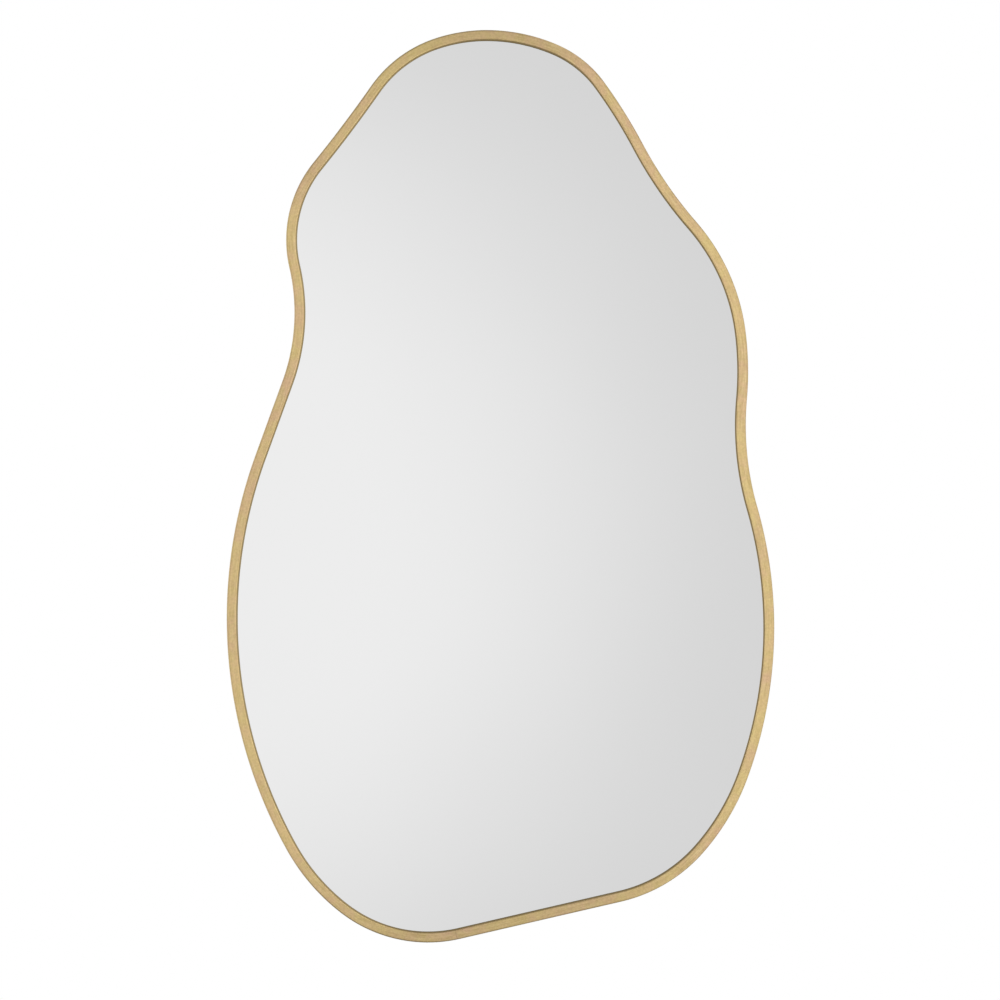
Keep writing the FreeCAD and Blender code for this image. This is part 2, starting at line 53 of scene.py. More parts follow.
def addNode(tree, kind, inputs=None, **settings):
    # a shader node with its settings; an input is a value or another node's output
    node = tree.nodes.new("ShaderNode" + kind)
    for name, given in settings.items():
        setattr(node, name, given)
    for socket, given in (inputs or {}).items():
        if isinstance(given, bpy.types.NodeSocket):
            tree.links.new(given, node.inputs[socket])
        else:
            node.inputs[socket].default_value = given
    return node


def newMaterial(name, surface):
    # a principled material; what is the same all over goes straight on its sockets
    material = bpy.data.materials.new(name)
    material.use_nodes = True
    shader = material.node_tree.nodes["Principled BSDF"]
    for socket, given in surface.items():
        shader.inputs[socket].default_value = given
    return material, material.node_tree, shader


def dressNodes(material, *names):
    for name in names:
        nodes[name].data.materials.clear()
        nodes[name].data.materials.append(material)


def addPiece(name, mesh, material, body, slot, *replaced):
    mesh.materials.clear()
    mesh.materials.append(material)
    piece = bpy.data.objects.new(name, mesh)
    bpy.context.scene.collection.objects.link(piece)
    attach(piece, body)
    if replaced:
        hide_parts(*replaced)
    return piece


def finishMesh(bm, name, sharpAngle=40):
    bmesh.ops.recalc_face_normals(bm, faces=bm.faces)
    mesh = bpy.data.meshes.new(name)
    bm.to_mesh(mesh)
    bm.free()
    mesh.shade_smooth()
    mesh.set_sharp_from_angle(angle=math.radians(sharpAngle))
    return mesh


def inMetres(points):
    return [(a * mm, b * mm) for a, b in points]


def roundCorner(a, b, radius, start, turn, steps=5):
    # points of an arc about (a, b), angles in degrees
    return [(a + radius * math.cos(math.radians(start + turn * i / steps)),
             b + radius * math.sin(math.radians(start + turn * i / steps)))
            for i in range(steps + 1)]


def bendStations(start, heading, bends, step):
    # Places along a run of tangent bends in XZ, each with the direction to its left and the run
    # so far. A bend is its radius and turn in degrees, and a straight its length and 0. All mm.
    place = Vector((start[0], 0, start[1])) * mm
    angle, run, stations = math.radians(heading), 0.0, []
    for size, turn in bends:
        size *= mm
        turn = math.radians(turn)
        side = math.copysign(1, turn)
        length = size * abs(turn) if turn else size
        centre = place + Vector((-math.sin(angle), 0, math.cos(angle))) * size * side
        count = max(2, round(length / (step * mm)))
        for share in (i / count for i in range(count + 1)):
            here = angle + turn * share
            left = Vector((-math.sin(here), 0, math.cos(here)))
            spot = centre - left * size * side
            if not turn:
                spot = place + Vector((math.cos(here), 0, math.sin(here))) * size * share
            if share < 1:
                stations.append((spot, left, run + length * share))
        place, angle, run = spot, angle + turn, run + length
    return stations, run


def sweepMesh(name, stations, depthAxis, profile, wholeRun=None, sharpAngle=40):
    # A closed profile of (left, depth) carried along stations. It closes on itself when the whole
    # run is given, and otherwise both ends are capped. The run is in u and the way round the
    # profile in v, both in metres.
    bm = bmesh.new()
    uvLayer = bm.loops.layers.uv.new("run")
    rings = [[bm.verts.new(spot + left * a + depthAxis * b) for a, b in profile]
             for spot, left, run in stations]
    runs = [run for spot, left, run in stations] + [wholeRun]
    around = [0.0]
    for k in range(len(profile)):
        around.append(around[-1] + math.dist(profile[k], profile[(k + 1) % len(profile)]))
    for i in range(len(stations) if wholeRun else len(stations) - 1):
        here, after = rings[i], rings[(i + 1) % len(stations)]
        for k in range(len(profile)):
            n = (k + 1) % len(profile)
            face = bm.faces.new((here[k], after[k], after[n], here[n]))
            corners = ((runs[i], around[k]), (runs[i + 1], around[k]),
                       (runs[i + 1], around[k + 1]), (runs[i], around[k + 1]))
            for loop, uv in zip(face.loops, corners):
                loop[uvLayer].uv = uv
    if not wholeRun:
        bm.faces.new(rings[0])
        bm.faces.new(rings[-1])
    return finishMesh(bm, name, sharpAngle)


def plateMesh(name, stations, inset, front, back, arris):
    # a flat plate inside the run of the band, with a small arris all round; all mm
    bm = bmesh.new()
    steps = [(inset + arris, front), (inset, front + arris), (inset, back - arris),
             (inset + arris, back)]
    rings = [[bm.verts.new(spot + left * a + towardsWall * b) for spot, left, run in stations]
             for a, b in inMetres(steps)]
    for here, after in zip(rings, rings[1:]):
        for i in range(len(stations)):
            j = (i + 1) % len(stations)
            bm.faces.new((here[i], here[j], after[j], after[i]))
    bm.faces.new(rings[0])
    bm.faces.new(rings[-1])
    return finishMesh(bm, name)


def turnedMesh(name, profile, place, sides=64):
    # a profile of (radius, height) in mm turned about an axis that points to the wall
    bm = bmesh.new()
    rings = []
    for radius, height in inMetres(profile):
        if radius < 1e-9:
            rings.append([bm.verts.new(place + towardsWall * height)])
            continue
        angles = [math.tau * i / sides for i in range(sides)]
        rings.append([bm.verts.new(place + Vector((radius * math.cos(t), height,
                                                   radius * math.sin(t)))) for t in angles])
    for here, after in zip(rings, rings[1:]):
        for i in range(sides):
            j = (i + 1) % sides
            corners = [here[i % len(here)], here[j % len(here)],
                       after[j % len(after)], after[i % len(after)]]
            bm.faces.new([v for n, v in enumerate(corners) if v not in corners[:n]])
    return finishMesh(bm, name, 35)


def easedMesh(name, node, width):
    # the CAD node's form with its edges broken, width in mm
    bm = bmesh.new()
    bm.from_mesh(nodes[node].data)
    bmesh.ops.remove_doubles(bm, verts=bm.verts, dist=1e-6)
    bmesh.ops.dissolve_limit(bm, angle_limit=math.radians(1), verts=bm.verts, edges=bm.edges)
    edges = [edge for edge in bm.edges
             if len(edge.link_faces) == 2 and edge.calc_face_angle(0) > math.radians(40)]
    bmesh.ops.bevel(bm, geom=edges, offset=width * mm, segments=2, profile=0.5, affect="EDGES",
                    clamp_overlap=True)
    mesh = finishMesh(bm, name, 40)
    # a broad flat face keeps its own normal right up to its broken edge
    broad = {edge for face in mesh.polygons if face.area > 25 * mm * mm for edge in face.edge_keys}
    for edge in mesh.edges:
        if edge.key in broad:
            edge.use_edge_sharp = True
    return mesh


# the run of the band

bandRun = {
    "top": (-15, 225),     # the topmost point, from which it heads left
    "bends": [(178, 19), (139, 36), (1500, -4), (135, 52), (220, -33), (86, 0), (523.1717, 49),
              (227, 23), (156.4207, 51), (181, 0), (172, 36), (260, 21), (480, 36), (325, -21),
              (350, 12), (227, 34), (460, -13), (570, 8), (125, 31), (197, 23)],
    "step": 3.0,
    "seam": -46.64,        # x of the butt seam, in the foot
    "seamGap": 0.2,
}

runStations, wholeRun = bendStations(bandRun["top"], 180, bandRun["bends"], bandRun["step"])
seamAt = min(range(len(runStations)),
             key=lambda i: abs(runStations[i][0].x / mm - bandRun["seam"])
             + (1000 if runStations[i][0].z > -0.6 else 0))
print("run of the band: %d stations over %.3f m" % (len(runStations), wholeRun))


# materials

brass = {
    "light": "#e3ca97",        # along the tops of the brush lines
    "deep": "#bea26c",
    "rose": "#d9b391",         # the plating turns pinkish here and there
    "straw": "#dbc67e",
    "roughness": 0.37,
    "brushPitch": 1.6,         # mm, a few times coarser than real so that it shows
    "scratchPitch": 0.3,       # mm
    "brushLength": 28.0,       # mm
    "cloud": 11.0,             # mm
    "drift": 55.0,             # mm
    "grain": 2.4,              # mm
    "cloudShare": 0.65, "driftShare": 0.45,
    "swing": 0.07,             # how far the grain lifts and lowers the brightness
    "corner": (0.0, 1.2, 1.8, 3.4),    # mm round the rolled outer edge, where painted shade darkens the colour
    # how much the painted shade on the rolled outer edge darkens the colour
    "cornerDull": 0.2,
}


def makeBrushedBrass():
    # Brass-plated steel strip, brushed along its length and lacquered: fine long scratches that
    # spread a highlight across the band, and soft warm and cool clouds in the plating.
    material, tree, shader = newMaterial("brushedBrassPlate", {
        "Metallic": 1.0, "Anisotropic": 0.7, "Anisotropic Rotation": 0.25, "Coat Weight": 0.4,
        "Coat Roughness": 0.25})
    run = addNode(tree, "UVMap", uv_map="run").outputs["UV"]
    tangent = addNode(tree, "Tangent", direction_type="UV_MAP", uv_map="run")
    tree.links.new(tangent.outputs["Tangent"], shader.inputs["Tangent"])
    along = 1000 / brass["brushLength"]
    coarse = addNode(tree, "Mapping", {"Vector": run,
                                       "Scale": (along, 1000 / brass["brushPitch"], 1)})
    lines = addNode(tree, "TexNoise", {"Vector": coarse.outputs[0], "Scale": 1.0, "Detail": 4.0,
                                       "Roughness": 0.65}).outputs[0]
    fine = addNode(tree, "Mapping", {"Vector": run,
                                     "Scale": (along, 1000 / brass["scratchPitch"], 1)})
    scratches = addNode(tree, "TexNoise", {"Vector": fine.outputs[0], "Scale": 1.0, "Detail": 2.0})
    place = addNode(tree, "TexCoord").outputs["Object"]
    clouds = addNode(tree, "TexNoise", {"Vector": place, "Scale": 1000 / brass["cloud"],
                                        "Detail": 2.0}).outputs[0]
    drift = addNode(tree, "TexNoise", {"Vector": place, "Scale": 1000 / brass["drift"],
                                       "Detail": 1.0}).outputs[0]
    grain = addNode(tree, "TexNoise", {"Vector": place, "Scale": 1000 / brass["grain"],
                                       "Detail": 1.0}).outputs[0]
    lineShare = addNode(tree, "MapRange", {"Value": lines, 1: 0.3, 2: 0.7}).outputs[0]
    cloudShare = addNode(tree, "MapRange", {"Value": clouds, 1: 0.38, 2: 0.66,
                                            4: brass["cloudShare"]}).outputs[0]
    driftShare = addNode(tree, "MapRange", {"Value": drift, 1: 0.35, 2: 0.65,
                                            4: brass["driftShare"]}).outputs[0]
    bright = addNode(tree, "MapRange", {"Value": grain, 1: 0.3, 2: 0.7, 3: 1 - brass["swing"],
                                        4: 1 + brass["swing"]}).outputs[0]
    # painted shade: the colour is darkened round the rolled outer front edge and fades out onto
    # the face
    around = addNode(tree, "SeparateXYZ", {0: run}).outputs["Y"]
    starts, full, fades, ends = (at * mm for at in brass["corner"])
    arrisShade = addNode(tree, "MapRange", {"Value": around, 1: starts, 2: full,
                                        4: brass["cornerDull"]}).outputs[0]
    arrisShadeFade = addNode(tree, "MapRange", {"Value": around, 1: ends, 2: fades}).outputs[0]
    arrisShade = addNode(tree, "Math", {0: arrisShade, 1: arrisShadeFade}, operation="MULTIPLY").outputs[0]
    arrisShadeFactor = addNode(tree, "Math", {0: 1.0, 1: arrisShade}, operation="SUBTRACT").outputs[0]
    bright = addNode(tree, "Math", {0: bright, 1: arrisShadeFactor}, operation="MULTIPLY").outputs[0]
    tone = addNode(tree, "Mix", {0: lineShare, 6: linear(brass["deep"]),
                                 7: linear(brass["light"])}, data_type="RGBA").outputs[2]
    tone = addNode(tree, "Mix", {0: cloudShare, 6: tone, 7: linear(brass["rose"])},
                   data_type="RGBA").outputs[2]
    tone = addNode(tree, "Mix", {0: driftShare, 6: tone, 7: linear(brass["straw"])},
                   data_type="RGBA").outputs[2]
    tone = addNode(tree, "VectorMath", {0: tone, "Scale": bright}, operation="SCALE").outputs[0]
    tree.links.new(tone, shader.inputs["Base Color"])
    rough = addNode(tree, "MapRange", {"Value": lines, 1: 0.3, 2: 0.7,
                                       3: brass["roughness"] + 0.05,
                                       4: brass["roughness"] - 0.05}).outputs[0]
    tree.links.new(rough, shader.inputs["Roughness"])
    bump = addNode(tree, "Bump", {"Strength": 0.12, "Distance": 0.0002,
                                  "Height": scratches.outputs[0]})
    tree.links.new(bump.outputs[0], shader.inputs["Normal"])
    return material


# a real tape, kept dark so that it also paints the shade line along the lip's inner edge
bead = {"face": "#9a8863", "dark": "#857450", "roughness": 0.3, "grain": 0.8}


def makeTapeBeadAndPaintedShade():
    # Edge tape with a bronze-coloured metallised face: satin, a little uneven where it is pressed.
    # Its dark colour is partly painted shade, the dark line along the lip's inner edge.
    material, tree, shader = newMaterial("bronzeTapeAndPaintedShade", {
        "Metallic": 1.0, "Roughness": bead["roughness"]})
    place = addNode(tree, "TexCoord").outputs["Object"]
    grain = addNode(tree, "TexNoise", {"Vector": place, "Scale": 1000 / bead["grain"],
                                       "Detail": 2.0}).outputs[0]
    tone = addNode(tree, "Mix", {0: grain, 6: linear(bead["dark"]), 7: linear(bead["face"])},
                   data_type="RGBA").outputs[2]
    tree.links.new(tone, shader.inputs["Base Color"])
    bump = addNode(tree, "Bump", {"Strength": 0.15, "Distance": 0.0002, "Height": grain})
    tree.links.new(bump.outputs[0], shader.inputs["Normal"])
    return material


glass = {"silver": "#f6f6f6", "thin": "#f4f4f4", "roughness": 0.012, "rollerWave": 180.0}


def makeSilveredGlass():
    # Float glass silvered on its back: a sharp neutral image, drawn very slightly by the rollers.
    material, tree, shader = newMaterial("silveredFloatGlass", {
        "Metallic": 1.0, "Roughness": glass["roughness"]})
    place = addNode(tree, "TexCoord").outputs["Object"]
    wave = addNode(tree, "TexNoise", {"Vector": place, "Scale": 1000 / glass["rollerWave"],
                                      "Detail": 0.0}).outputs[0]
    tone = addNode(tree, "Mix", {0: wave, 6: linear(glass["silver"]), 7: linear(glass["thin"])},
                   data_type="RGBA").outputs[2]
    tree.links.new(tone, shader.inputs["Base Color"])
    return material


film = {"thread": "#c6cacb", "gap": "#9da3a6", "weave": 1.2}


def makeWovenFilm():
    # Self-adhesive safety film with a woven backing: a fine matt grey check.
    material, tree, shader = newMaterial("wovenBackedFilm", {"Roughness": 0.7})
    place = addNode(tree, "TexCoord").outputs["Object"]
    threads = addNode(tree, "TexBrick", {"Vector": place, "Scale": 1000 / film["weave"],
                                         "Color1": linear(film["thread"]),
                                         "Color2": linear(film["thread"]),
                                         "Mortar": linear(film["gap"]), "Mortar Size": 0.08,
                                         "Brick Width": 1.0, "Row Height": 1.0}, offset=0.0)
    tree.links.new(threads.outputs["Color"], shader.inputs["Base Color"])
    return material


foam = {"light": "#66676a", "dark": "#3f4043", "cell": 1.0}


def makeFoam():
    # Closed-cell polyethylene foam: small round cells, matt.
    material, tree, shader = newMaterial("closedCellFoam", {"Roughness": 0.9})
    place = addNode(tree, "TexCoord").outputs["Object"]
    cells = addNode(tree, "TexVoronoi", {"Vector": place, "Scale": 1000 / foam["cell"]}).outputs[0]
    tone = addNode(tree, "Mix", {0: cells, 6: linear(foam["dark"]), 7: linear(foam["light"])},
                   data_type="RGBA").outputs[2]
    tree.links.new(tone, shader.inputs["Base Color"])
    bump = addNode(tree, "Bump", {"Strength": 0.3, "Distance": 0.0003, "Height": cells})
    tree.links.new(bump.outputs[0], shader.inputs["Normal"])
    return material


rubber = {"dark": "#1d1d1e", "bloom": "#2c2c2d", "grain": 0.5}


def makeMouldedRubber():
    # Moulded neoprene: near black, a fine eroded grain and a faint grey bloom.
    material, tree, shader = newMaterial("mouldedNeoprene", {"Roughness": 0.72})
    place = addNode(tree, "TexCoord").outputs["Object"]
    bloom = addNode(tree, "TexNoise", {"Vector": place, "Scale": 160.0, "Detail": 2.0}).outputs[0]
    tone = addNode(tree, "Mix", {0: bloom, 6: linear(rubber["dark"]), 7: linear(rubber["bloom"])},
                   data_type="RGBA").outputs[2]
    tree.links.new(tone, shader.inputs["Base Color"])
    grain = addNode(tree, "TexNoise", {"Vector": place, "Scale": 1000 / rubber["grain"],
                                       "Detail": 1.0}).outputs[0]
    bump = addNode(tree, "Bump", {"Strength": 0.2, "Distance": 0.0001, "Height": grain})
    tree.links.new(bump.outputs[0], shader.inputs["Normal"])
    return material


fibreboard = {"face": "#b08d63", "pale": "#bd9c72", "fleck": "#8c6b45", "edge": "#94734c",
              "fibre": 1.1, "cloud": 45.0}


def makeFibreboard():
    # Medium-density fibreboard: a sanded face with pale clouds and short dark fibre flecks, and
    # sawn edges that are darker and rougher.
    material, tree, shader = newMaterial("sandedFibreboard", {"Roughness": 0.78})
    place = addNode(tree, "TexCoord").outputs["Object"]
    clouds = addNode(tree, "TexNoise", {"Vector": place, "Scale": 1000 / fibreboard["cloud"],
                                        "Detail": 3.0}).outputs[0]
    tone = addNode(tree, "Mix", {0: clouds, 6: linear(fibreboard["face"]),
                                 7: linear(fibreboard["pale"])}, data_type="RGBA").outputs[2]
    fibres = addNode(tree, "TexNoise", {"Vector": place, "Scale": 1000 / fibreboard["fibre"],
                                        "Detail": 5.0, "Distortion": 0.6}).outputs[0]
    flecks = addNode(tree, "MapRange", {"Value": fibres, 1: 0.5, 2: 0.75, 4: 0.4}).outputs[0]
    tone = addNode(tree, "Mix", {0: flecks, 6: tone, 7: linear(fibreboard["fleck"])},
                   data_type="RGBA").outputs[2]
    normal = addNode(tree, "NewGeometry").outputs["Normal"]
    depth = addNode(tree, "SeparateXYZ", {0: normal}).outputs["Y"]
    facing = addNode(tree, "Math", {0: depth}, operation="ABSOLUTE").outputs[0]
    sawn = addNode(tree, "MapRange", {"Value": facing, 1: 0.9, 2: 0.5}).outputs[0]
    tone = addNode(tree, "Mix", {0: sawn, 6: tone, 7: linear(fibreboard["edge"])},
                   data_type="RGBA").outputs[2]
    tree.links.new(tone, shader.inputs["Base Color"])
    bump = addNode(tree, "Bump", {"Strength": 0.25, "Distance": 0.0003, "Height": fibres})
    tree.links.new(bump.outputs[0], shader.inputs["Normal"])
    return material


zinc = {"bright": "#c9ccce", "dull": "#b3b7bb", "warm": "#cdc9ba", "roughness": 0.34,
        "patch": 9.0, "grain": 0.6}


def makeZincPlate():
    # Bright zinc on stamped steel: a pale blue-grey sheen, faintly yellow in patches.
    material, tree, shader = newMaterial("zincPlatedSteel", {"Metallic": 1.0})
    place = addNode(tree, "TexCoord").outputs["Object"]
    patch = addNode(tree, "TexNoise", {"Vector": place, "Scale": 1000 / zinc["patch"],
                                       "Detail": 2.0}).outputs[0]
    grain = addNode(tree, "TexNoise", {"Vector": place, "Scale": 1000 / zinc["grain"],
                                       "Detail": 2.0}).outputs[0]
    tone = addNode(tree, "Mix", {0: grain, 6: linear(zinc["dull"]), 7: linear(zinc["bright"])},
                   data_type="RGBA").outputs[2]
    warmth = addNode(tree, "MapRange", {"Value": patch, 1: 0.45, 2: 0.75, 4: 0.6}).outputs[0]
    tone = addNode(tree, "Mix", {0: warmth, 6: tone, 7: linear(zinc["warm"])},
                   data_type="RGBA").outputs[2]
    tree.links.new(tone, shader.inputs["Base Color"])
    rough = addNode(tree, "MapRange", {"Value": patch, 1: 0.3, 2: 0.7, 3: zinc["roughness"] - 0.06,
                                       4: zinc["roughness"] + 0.08}).outputs[0]
    tree.links.new(rough, shader.inputs["Roughness"])
    bump = addNode(tree, "Bump", {"Strength": 0.08, "Distance": 0.0001, "Height": grain})
    tree.links.new(bump.outputs[0], shader.inputs["Normal"])
    return material


tabBrass = {"plate": "#c9aa70", "dull": "#ab8d58", "roughness": 0.36, "grain": 0.7}


def makeStampedBrass():
    # The same plating on stamped tabs that nobody sees: unbrushed, duller, faintly pitted.
    material, tree, shader = newMaterial("stampedBrassPlate", {
        "Metallic": 1.0, "Roughness": tabBrass["roughness"]})
    place = addNode(tree, "TexCoord").outputs["Object"]
    grain = addNode(tree, "TexNoise", {"Vector": place, "Scale": 1000 / tabBrass["grain"],
                                       "Detail": 3.0}).outputs[0]
    tone = addNode(tree, "Mix", {0: grain, 6: linear(tabBrass["dull"]),
                                 7: linear(tabBrass["plate"])}, data_type="RGBA").outputs[2]
    tree.links.new(tone, shader.inputs["Base Color"])
    bump = addNode(tree, "Bump", {"Strength": 0.12, "Distance": 0.0001, "Height": grain})
    tree.links.new(bump.outputs[0], shader.inputs["Normal"])
    return material


brushedBrass = makeBrushedBrass()
tapeBeadAndPaintedShade = makeTapeBeadAndPaintedShade()
silveredGlass = makeSilveredGlass()
wovenFilm = makeWovenFilm()
closedCellFoam = makeFoam()
neoprene = makeMouldedRubber()
sandedBoard = makeFibreboard()
zincPlate = makeZincPlate()
stampedBrass = makeStampedBrass()
print("materials: %d" % len(bpy.data.materials))


# the band: a strip of L section bent round, its lip in front, and closed with a butt seam

band = {
    "front": -27.0, "lipBack": -25.5, "rear": -2.0,
    "wall": 1.5, "face": 10.5,
    "arris": 1.7,          # round of the outer front edge
    "innerRound": 0.95,    # round of the lip's front edge
    "burr": 0.3,           # broken rear edges
}


def makeBand():
    rear, front, lipBack = band["rear"], band["front"], band["lipBack"]
    wall, face, arris = band["wall"], band["face"], band["arris"]
    inner, burr = band["innerRound"], band["burr"]
    profile = roundCorner(arris, front + arris, arris, 180, 90, 7)
    profile += [(arris + 0.1, front), (face / 2, front), (face - inner - 0.1, front)]
    profile += roundCorner(face - inner, front + inner, inner, 270, 90, 6)
    profile += roundCorner(face - 0.2, lipBack - 0.2, 0.2, 0, 90, 2)
    profile += roundCorner(wall + 1, lipBack + 1, 1, 270, -90, 4)
    profile += roundCorner(wall - burr, rear - burr, burr, 0, 90, 2)
    profile += roundCorner(burr, rear - burr, burr, 90, 90, 2)
    after = runStations[seamAt + 1:] + runStations[:seamAt]
    gap = bandRun["seamGap"] / 2 * mm
    seamSpot, seamLeft, seamRun = runStations[seamAt]
    along = Vector((seamLeft.z, 0, -seamLeft.x))
    ends = [(seamSpot + along * gap, seamLeft, seamRun + gap),
            (seamSpot - along * gap, seamLeft, seamRun - gap)]
    laid = [ends[0]] + after + [ends[1]]
    started = [(spot, left, run if run > seamRun else run + wholeRun) for spot, left, run in laid]
    mesh = sweepMesh("frameBand", started, towardsWall, inMetres(profile))
    return addPiece("frameBand", mesh, brushedBrass, "mirror", "brushed_brass", "frame_band")


makeBand()
print("band")


# the tape under the lip, and the glass

tape = {"front": -25.48, "back": -24.72, "outer": 3.1, "inner": 12.0, "crown": 10.2}
glassPlate = {"inset": 3.0, "front": -24.7, "back": -20.7, "arris": 0.4}


def makeTape():
    # its free edge swells into a low rounded bead
    width, rise = tape["inner"] - tape["crown"], tape["back"] - tape["front"]
    profile = [(tape["outer"], tape["back"]), (tape["outer"], tape["front"])]
    profile += [(tape["crown"] + width * math.sin(t), tape["back"] - rise * math.cos(t))
                for t in (math.radians(a) for a in range(0, 91, 10))]
    mesh = sweepMesh("edgeTape", runStations, towardsWall, inMetres(profile), wholeRun)
    return addPiece("edgeTape", mesh, tapeBeadAndPaintedShade, "mirror", "bronze_tape", "glazing_tape")


makeTape()
plate = plateMesh("mirrorPlate", runStations, glassPlate["inset"], glassPlate["front"],
                  glassPlate["back"], glassPlate["arris"])
addPiece("mirrorPlate", plate, silveredGlass, "mirror", "silvered_glass", "mirror_glass")
dressNodes(wovenFilm, "safety_film")
dressNodes(closedCellFoam, "foam_strip_left", "foam_strip_middle", "foam_strip_right")
dressNodes(neoprene, *["setting_pad_%d" % n for n in range(1, 7)])
print("tape and glass")


# the board and what is fastened behind it

board = {"inset": 3.5, "front": -19.4, "back": -10.4, "arris": 0.5}
plate = plateMesh("backingPlate", runStations, board["inset"], board["front"], board["back"],
                  board["arris"])
addPiece("backingPlate", plate, sandedBoard, "mirror", "fibreboard", "backing_board")

for number in range(1, 10):
    node = "bend_tab_%d" % number
    addPiece("bendTab%d" % number, easedMesh("bendTab%d" % number, node, 0.15), stampedBrass,
             "mirror", "brushed_brass", node)
addPiece("seamSplice", easedMesh("seamSplice", "seam_splice", 0.2), zincPlate, "mirror",
         "zinc_steel", "seam_splice")

hanger = {
    "spacing": 300.0,
    "barDepth": -7.75, "barHeight": -15.4806,
    "lean": 2.866,                                   # degrees, the ring resting on the board
    "wire": 1.5,
    "ringRun": [(14, 0), (4, 90), (2, 0), (11, 180), (2, 0), (4, 90)],
    "strapEase": 0.12,
    "headSeat": -8.4,
    "screwDrops": (23.0, 37.0),                      # below the bar
}

for side, sign in (("left", -1), ("right", 1)):
    place = Vector((sign * hanger["spacing"] / 2, hanger["barDepth"], hanger["barHeight"])) * mm
    turn = Matrix.Translation(place) @ Matrix.Rotation(math.radians(hanger["lean"]), 4, "X")
    ringStations, ringRun = bendStations((-7, 0), 0, hanger["ringRun"], 0.6)
    laid = [(turn @ spot, turn.to_3x3() @ left, run) for spot, left, run in ringStations]
    wire = roundCorner(0, 0, hanger["wire"], 0, 345, 23)
    name = "hangerRing" + side.title()
    mesh = sweepMesh(name, laid, turn.to_3x3() @ towardsWall, inMetres(wire), ringRun)
    addPiece(name, mesh, zincPlate, "ring_" + side, "zinc_steel", "hanger_ring_" + side)
    name = "hangerStrap" + side.title()
    addPiece(name, easedMesh(name, "hanger_strap_" + side, hanger["strapEase"]), zincPlate,
             "mirror", "zinc_steel", "hanger_strap_" + side)
print("board, tabs and hangers")


# screws with a pan head and a cross recess

screw = {
    "head": 3.5, "height": 2.2, "shank": 1.75, "length": 8.0,
    "recess": 2.1, "recessWidth": 0.95, "recessDepth": 1.4,
    "floor": 0.55, "mouth": 1.1,      # the recess tapers from its mouth to its floor
}


def makeScrews():
    joined = bmesh.new()
    r, h = screw["head"], screw["height"]
    outline = [(0, -screw["length"]), (0.5, -screw["length"] + 0.2), (screw["shank"], -6.2),
               (screw["shank"], 0), (r - 0.15, 0), (r, 0.15), (r, 0.75)]
    outline += [(r * math.cos(t), 0.75 + (h - 0.75) * math.sin(t))
                for t in (math.radians(a) for a in (15, 30, 45, 60, 75))]
    outline += [(0, h)]
    w, l = screw["recessWidth"] / 2, screw["recess"]
    cross = [(w, w), (w, l), (-w, l), (-w, w), (-l, w), (-l, -w), (-w, -w), (-w, -l), (w, -l),
             (w, -w), (l, -w), (l, w)]
    turns = (20, 71, 48, 5)     # each driven home at its own angle
    spots = [Vector((x, hanger["headSeat"], hanger["barHeight"] - drop)) * mm
             for x in (-hanger["spacing"] / 2, hanger["spacing"] / 2)
             for drop in hanger["screwDrops"]]
    for spot, turned in zip(spots, turns):
        head = bpy.data.objects.new("screwHead", turnedMesh("screwHead", outline, spot, 40))
        cutter = bmesh.new()
        twist = Matrix.Rotation(math.radians(turned), 3, "Y")
        floor, mouth = [
            [cutter.verts.new(spot + twist @ Vector((a * size, height, b * size)) * mm)
             for a, b in cross]
            for size, height in ((screw["floor"], h - screw["recessDepth"]),
                                 (screw["mouth"], h + 0.3))]
        cutter.faces.new(floor)
        cutter.faces.new(mouth)
        for i in range(len(cross)):
            j = (i + 1) % len(cross)
            cutter.faces.new((floor[i], floor[j], mouth[j], mouth[i]))
        tool = bpy.data.objects.new("recess", finishMesh(cutter, "recess"))
        for item in (head, tool):
            bpy.context.scene.collection.objects.link(item)
        driven = head.modifiers.new("recess", "BOOLEAN")
        driven.operation, driven.object, driven.solver = "DIFFERENCE", tool, "EXACT"
        shown = head.evaluated_get(bpy.context.evaluated_depsgraph_get())
        joined.from_mesh(shown.to_mesh())
        shown.to_mesh_clear()
        for item in (head, tool):
            bpy.data.objects.remove(item)
    return addPiece("hangerScrews", finishMesh(joined, "hangerScrews", 35), zincPlate, "mirror",
                    "zinc_steel", "hanger_screws")


makeScrews()


# rubber bumpers, stuck to the board

bumper = {
    "places": [(-150, -690), (150, -690), (80, 150), (-80, 150)],
    # radius and height over the board; the ring at the top touches the wall
    "profile": [(0, 0), (7.7, 0), (8.0, 0.3), (8.0, 1.4), (7.75, 1.7), (7.35, 8.6), (7.2, 9.5),
                (6.8, 10.1), (6.2, 10.4), (5.0, 10.4), (4.5, 10.2), (4.0, 9.9), (0, 9.7)],
}

for number, (x, z) in enumerate(bumper["places"], 1):
    spot = Vector((x, board["back"], z)) * mm
    addPiece("wallBumper%d" % number, turnedMesh("wallBumper%d" % number, bumper["profile"], spot),
             neoprene, "mirror", "black_rubber", "wall_bumper_%d" % number)
print("screws and bumpers")


# the studio: a pale floor well under the mirror, white all round it, and soft light

studio = {
    "floorHeight": -1.45, "floorRadius": 3.2, "floorColour": "#e4e4e2", "floorSolid": 0.9,
    "ambient": 0.8,
    "glowCentre": (-0.1186, -0.0108),     # where the glass shows its brightest, as slopes
    # each of these is where it starts and ends, and what it goes from and to
    "glow": (0.07, 0.23, 0.925, 0.73),
    "rightWall": (0.11, 0.3, 0.0, 0.95), "rightFar": (0.32, 0.58, 0.0, 0.65),
    "leftWall": (-0.6, -0.95, 0.0, 0.5),
    "ceiling": (0.17, 0.7, 1.0, 0.7), "ground": (-0.4, -0.9, 1.0, 0.45),
    "highWindowCentre": (0.47, 0.25), "highWindow": (0.34, 0.08, 0.0, 0.4),
}


